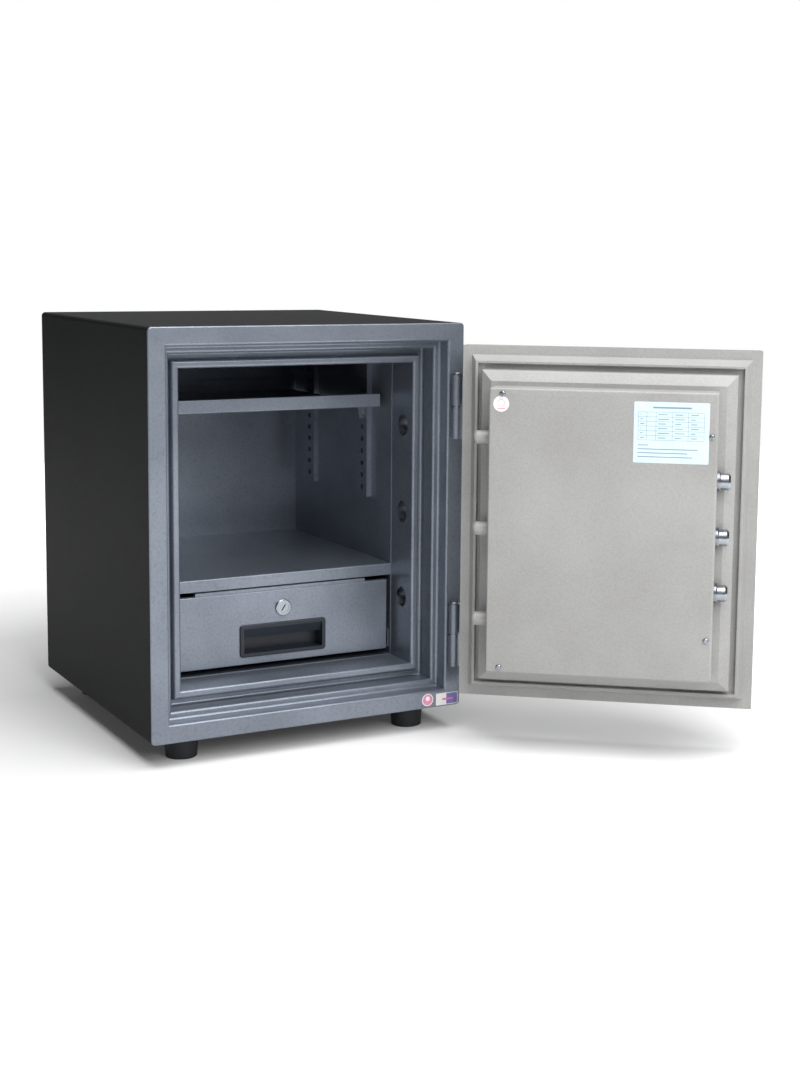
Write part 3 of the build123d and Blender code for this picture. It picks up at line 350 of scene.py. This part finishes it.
def build(name, layers, materials, placement, body):
    """A piece made of flat layers of (outline, low, high, material number), fixed to a body."""
    mesh = bmesh.new()
    for points, low, high, number in layers:
        slab(mesh, points, low, high, number)
    data = bpy.data.meshes.new(name)
    mesh.to_mesh(data)
    mesh.free()
    for material in materials:
        data.materials.append(material)
    piece = bpy.data.objects.new(name, data)
    bpy.context.scene.collection.objects.link(piece)
    piece.matrix_world = placement
    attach(piece, body)
    return piece


# The labels on the door and on the rim

PAPER = 0.12 * MM
INK = 0.17 * MM
OVERPRINT = 0.21 * MM

COVER_HINGE_EDGE, COVER_FREE_EDGE = reach("lock_cover", TO_FREE_EDGE)
COVER_FACE = reach("lock_cover", OUT_OF_DOOR_BACK)[1]
COVER_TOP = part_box("lock_cover")[1].z


def on_cover(from_free_edge, below_top):
    """The place on the lock cover's face, so far in from its free edge and below its top."""
    along = COVER_FREE_EDGE - from_free_edge
    spot = HINGE + TO_FREE_EDGE * along + OUT_OF_DOOR_BACK * COVER_FACE
    return stand(TO_FREE_EDGE, UP, Vector((spot.x, spot.y, COVER_TOP - below_top)))


LABEL_WIDE, LABEL_TALL = 88 * MM, 72 * MM
LABEL_FROM_FREE_EDGE, LABEL_BELOW_TOP = 10.5 * MM, 12.0 * MM
LABEL_CORNER = 1.5 * MM

# In millimetres on the label: its table, the half width of a ruled line and of a line of print
TABLE_LEFT, TABLE_RIGHT, TABLE_LOW, TABLE_HIGH = 5.0, 82.0, 27.0, 60.0
TABLE_ROWS = 6
TABLE_COLUMNS = (0, 0.13, 0.27, 0.52, 0.76, 1)
RULE, PRINT, NOTE_PRINT = 0.22, 0.5, 0.55
HEADING = (22, 64.4, 67, 66.4)
CELL_PRINT = ((0.03, 5.0), (0.30, 13.0), (0.56, 11.0), (0.80, 9.0))
NOTE_LENGTHS = (12.0, 70.0, 58.0, 64.0)
NOTE_TOP, NOTE_SPACING = 21.0, 4.6


def test_table_label():
    """A pale paper label with a ruled table and rows of grey strokes that stand for its print."""
    label = rounded_box(0, 0, LABEL_WIDE, LABEL_TALL, LABEL_CORNER)
    layers = [(label, 0, PAPER, 0)]

    def stroke(x0, y0, x1, y1):
        corners = [(x0 * MM, y0 * MM), (x1 * MM, y0 * MM), (x1 * MM, y1 * MM), (x0 * MM, y1 * MM)]
        layers.append((corners, PAPER, INK, 1))

    across = TABLE_RIGHT - TABLE_LEFT
    upwards = TABLE_HIGH - TABLE_LOW
    stroke(*HEADING)
    for row in range(TABLE_ROWS + 1):
        y = TABLE_LOW + upwards * row / TABLE_ROWS
        stroke(TABLE_LEFT, y - RULE, TABLE_RIGHT, y + RULE)
    for column in TABLE_COLUMNS:
        x = TABLE_LEFT + across * column
        stroke(x - RULE, TABLE_LOW + RULE, x + RULE, TABLE_HIGH - RULE)
    for row in range(TABLE_ROWS):
        y = TABLE_LOW + upwards * (row + 0.5) / TABLE_ROWS
        for column, length in CELL_PRINT:
            start = TABLE_LEFT + across * column
            shorter = 2.0 * ((row + int(column * 9)) % 3)
            stroke(start, y - PRINT, start + length - shorter, y + PRINT)
    for row, length in enumerate(NOTE_LENGTHS):
        y = NOTE_TOP - NOTE_SPACING * row
        stroke(TABLE_LEFT, y - NOTE_PRINT, TABLE_LEFT + length, y + NOTE_PRINT)
    corner = on_cover(LABEL_FROM_FREE_EDGE + LABEL_WIDE, LABEL_BELOW_TOP + LABEL_TALL)
    return build(
        "door_table_label", layers, [LABEL_PAPER, GREY_INK], corner, "door"
    )


def round_cover_sticker():
    """A white dot by the cover's top hinge-side corner, with a thin pink ring and a bar on it."""
    place = on_cover(COVER_FREE_EDGE - COVER_HINGE_EDGE - 15.0 * MM, 19.0 * MM)
    layers = [
        (disc(0, 0, 9.5 * MM), 0, PAPER, 0),
        (disc(0, 1.0 * MM, 4.4 * MM), PAPER, INK, 1),
        (disc(0, 1.0 * MM, 3.9 * MM), INK, OVERPRINT, 0),
        (
            rounded_box(-4.6 * MM, -6.2 * MM, 4.6 * MM, -5.0 * MM, 0.5 * MM, 3),
            PAPER, INK, 1,
        ),
    ]
    return build(
        "cover_round_sticker", layers, [WHITE_PAPER, PINK_INK], place, "door"
    )


RIM_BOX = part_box("front_frame")


def on_rim(from_right, above_bottom):
    """The place on the lower rim, so far in from the body's right side and above its underside."""
    corner = Vector((RIM_BOX[1].x - from_right, RIM_BOX[0].y, RIM_BOX[0].z + above_bottom))
    return stand(RIGHT, UP, corner)


def rim_stickers():
    """A round pink sticker and a white and violet one at the lower rim's right end."""
    layers = [
        (disc(0, 0, 8.0 * MM), 0, PAPER, 0),
        (disc(0, 0, 7.0 * MM), PAPER, INK, 1),
        (disc(0, 1.6 * MM, 3.0 * MM, 24), INK, OVERPRINT, 0),
    ]
    build(
        "rim_round_sticker", layers, [WHITE_PAPER, PINK_INK],
        on_rim(46.5 * MM, 11.0 * MM), "body",
    )
    layers = [
        (rounded_box(0, 0, 31.5 * MM, 15.5 * MM, 0.8 * MM), 0, PAPER, 0),
        (rounded_box(15 * MM, 0.8 * MM, 30.7 * MM, 14.7 * MM, 0.5 * MM, 3), PAPER, INK, 1),
        (rounded_box(9 * MM, 6.2 * MM, 25 * MM, 8.8 * MM, 0.6 * MM, 3), INK, OVERPRINT, 2),
    ]
    build(
        "rim_square_sticker", layers, [WHITE_PAPER, VIOLET_INK, PINK_INK],
        on_rim(34.5 * MM, 2.0 * MM), "body",
    )


# The dial's graduations: long and short strokes and the tens, filled with white paint


KNOB_HEIGHT = 19.0 * MM
STROKES, STROKES_PER_NUMBER = 50, 5
STROKE_OUTER, LONG_STROKE_INNER, SHORT_STROKE_INNER = 29.6, 24.5, 27.0
LONG_STROKE_HALF, SHORT_STROKE_HALF = 0.28, 0.18
NUMBER_RADIUS, NUMBER_SIZE = 21.2 * MM, 4.6 * MM
PAINT, HALF_PAINT = 0.08 * MM, 0.04 * MM


def dial_face():
    """The placement of the dial skirt's face, seen from outside the door."""
    low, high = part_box("combination_dial")
    centre = (low + high) / 2
    skirt_face = reach("combination_dial", -OUT_OF_DOOR_BACK)[1] - KNOB_HEIGHT
    along = TO_FREE_EDGE * (centre - HINGE).dot(TO_FREE_EDGE)
    middle = HINGE + along - OUT_OF_DOOR_BACK * skirt_face
    middle.z = centre.z
    return stand(-TO_FREE_EDGE, UP, middle)


def dial_strokes(place):
    layers = []
    for step in range(STROKES):
        turn = math.tau * step / STROKES
        long = step % STROKES_PER_NUMBER == 0
        inner = LONG_STROKE_INNER if long else SHORT_STROKE_INNER
        half = LONG_STROKE_HALF if long else SHORT_STROKE_HALF
        along = Vector((math.sin(turn), math.cos(turn)))
        across = Vector((math.cos(turn), -math.sin(turn))) * half
        near, far = along * inner, along * STROKE_OUTER
        corners = [near - across, near + across, far + across, far - across]
        layers.append(([tuple(c * MM) for c in corners], 0, PAINT, 0))
    build("dial_strokes", layers, [WHITE_PAINT], place, "dial")


def dial_number(number, place):
    """One figure of the tens, standing upright towards the dial's rim."""
    name = f"dial_number_{number * 10}"
    turn = math.tau * number / 10
    text = bpy.data.curves.new(name, "FONT")
    text.body = str(number * 10)
    text.size = NUMBER_SIZE
    text.align_x, text.align_y = "CENTER", "CENTER"
    text.extrude = HALF_PAINT
    shaped = bpy.data.objects.new(name, text)
    bpy.context.scene.collection.objects.link(shaped)
    bpy.context.view_layer.update()
    graph = bpy.context.evaluated_depsgraph_get()
    mesh = bpy.data.meshes.new_from_object(shaped.evaluated_get(graph))
    bpy.data.objects.remove(shaped)
    mesh.materials.clear()
    mesh.materials.append(WHITE_PAINT)
    figure = bpy.data.objects.new(name, mesh)
    bpy.context.scene.collection.objects.link(figure)
    spot = Vector((math.sin(turn), math.cos(turn), 0)) * NUMBER_RADIUS
    spot.z = HALF_PAINT
    figure.matrix_world = place @ Matrix.Translation(spot) @ Matrix.Rotation(-turn, 4, "Z")
    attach(figure, "dial")


test_table_label()
round_cover_sticker()
rim_stickers()
dial_strokes(dial_face())
for number in range(10):
    dial_number(number, dial_face())


# Floor, light and camera


FLOOR_HALF = 2.6
# So far from the middle the floor starts to glow, and so far it is pure white
GLOW_STARTS, GLOW_FULL = 0.55, 1.6


def studio_floor():
    """A pale floor that brightens outwards until its edge is lost in the white background."""
    material, tree = blank_material("pale_studio_floor")
    place = add(tree, "ShaderNodeTexCoord").outputs["Object"]
    cloud = add(
        tree, "ShaderNodeTexNoise", {"Scale": 1.5, "Detail": 2.0}, Vector=place
    ).outputs["Fac"]
    colour = ramp(tree, cloud, [(0.3, "#e2e2e2"), (0.7, "#e6e6e6")])
    away = add(tree, "ShaderNodeVectorMath", {"operation": "LENGTH"}, in0=place).outputs["Value"]
    glow = add(
        tree, "ShaderNodeMapRange",
        {"From Min": GLOW_STARTS, "From Max": GLOW_FULL, "To Min": 0.04, "To Max": 1.0},
        Value=away,
    ).outputs["Result"]
    finish_material(
        material, tree,
        {"Roughness": 0.9, "Specular IOR Level": 0.1, "Emission Color": paint("#ffffff")},
        Base_Color=colour, Emission_Strength=glow,
    )
    height = cad_box[0][2]
    mesh = bmesh.new()
    bmesh.ops.create_grid(mesh, x_segments=8, y_segments=8, size=FLOOR_HALF)
    data = bpy.data.meshes.new("studio_floor")
    mesh.to_mesh(data)
    mesh.free()
    data.materials.append(material)
    floor = bpy.data.objects.new("studio_floor", data)
    bpy.context.scene.collection.objects.link(floor)
    floor.location = (0, 0, height)


def softbox(name, place, aim, wide, tall, power):
    light = bpy.data.lights.new(name, "AREA")
    light.shape = "RECTANGLE"
    light.size, light.size_y = wide, tall
    light.energy = power
    lamp = bpy.data.objects.new(name, light)
    bpy.context.scene.collection.objects.link(lamp)
    lamp.location = place
    lamp.rotation_euler = (Vector(aim) - Vector(place)).to_track_quat("-Z", "Y").to_euler()
    return lamp


# Each lamp's name, place, aim, width, height and watts: one high in front, one above and one
# behind that skims the top
SOFTBOXES = [
    ("key_softbox", (0.2, -3.0, 2.0), (0.1, -0.2, 0.25), 2.2, 1.8, 82),
    ("top_softbox", (0.1, -0.9, 2.9), (0.0, -0.2, 0.2), 2.6, 2.6, 112),
    ("back_softbox", (0.9, 3.0, 1.2), (0.0, 0.0, 0.4), 2.6, 1.2, 7),
]
DIM_SURROUNDINGS = 0.08


def studio_light():
    """The softboxes, in surroundings that look white but cast only a dim light."""
    for settings in SOFTBOXES:
        softbox(*settings)
    world = bpy.data.worlds.new("studio")
    bpy.context.scene.world = world
    world.use_nodes = True
    tree = world.node_tree
    tree.nodes.clear()
    dim = add(
        tree, "ShaderNodeBackground",
        {"Color": paint("#e6e9ee"), "Strength": DIM_SURROUNDINGS},
    )
    bright = add(tree, "ShaderNodeBackground", {"Color": paint("#ffffff"), "Strength": 1.0})
    seen = add(tree, "ShaderNodeLightPath")
    mix = add(tree, "ShaderNodeMixShader")
    tree.links.new(seen.outputs["Is Camera Ray"], mix.inputs[0])
    tree.links.new(dim.outputs[0], mix.inputs[1])
    tree.links.new(bright.outputs[0], mix.inputs[2])
    output = add(tree, "ShaderNodeOutputWorld")
    tree.links.new(mix.outputs[0], output.inputs["Surface"])


AZIMUTH, ELEVATION, ROLL = (math.radians(turn) for turn in (-29.690, 7.340, 0.708))
TARGET = Vector((0.2015, RIM_BOX[0].y, RIM_BOX[0].z + 0.3089))
DISTANCE = 2.1614
LENS, SENSOR = 56.608, 36.0
SHIFT = (-0.0543, -0.0738)


def camera():
    """Three-quarter view from the front left, a little above, with a slight roll."""
    back = Vector((
        math.sin(AZIMUTH) * math.cos(ELEVATION),
        -math.cos(AZIMUTH) * math.cos(ELEVATION),
        math.sin(ELEVATION),
    ))
    right = (-back).cross(UP).normalized()
    up = right.cross(-back)
    turned_right = right * math.cos(ROLL) + up * math.sin(ROLL)
    turned_up = up * math.cos(ROLL) - right * math.sin(ROLL)
    data = bpy.data.cameras.new("camera")
    data.lens = LENS
    data.sensor_width = data.sensor_height = SENSOR
    data.sensor_fit = "AUTO"
    data.shift_x, data.shift_y = SHIFT
    data.clip_start = 0.05
    eye = bpy.data.objects.new("camera", data)
    bpy.context.scene.collection.objects.link(eye)
    facing = Matrix((turned_right, turned_up, back)).transposed().to_4x4()
    eye.matrix_world = Matrix.Translation(TARGET + back * DISTANCE) @ facing
    bpy.context.scene.camera = eye


studio_floor()
studio_light()
camera()
bpy.context.scene.view_settings.view_transform = "Standard"
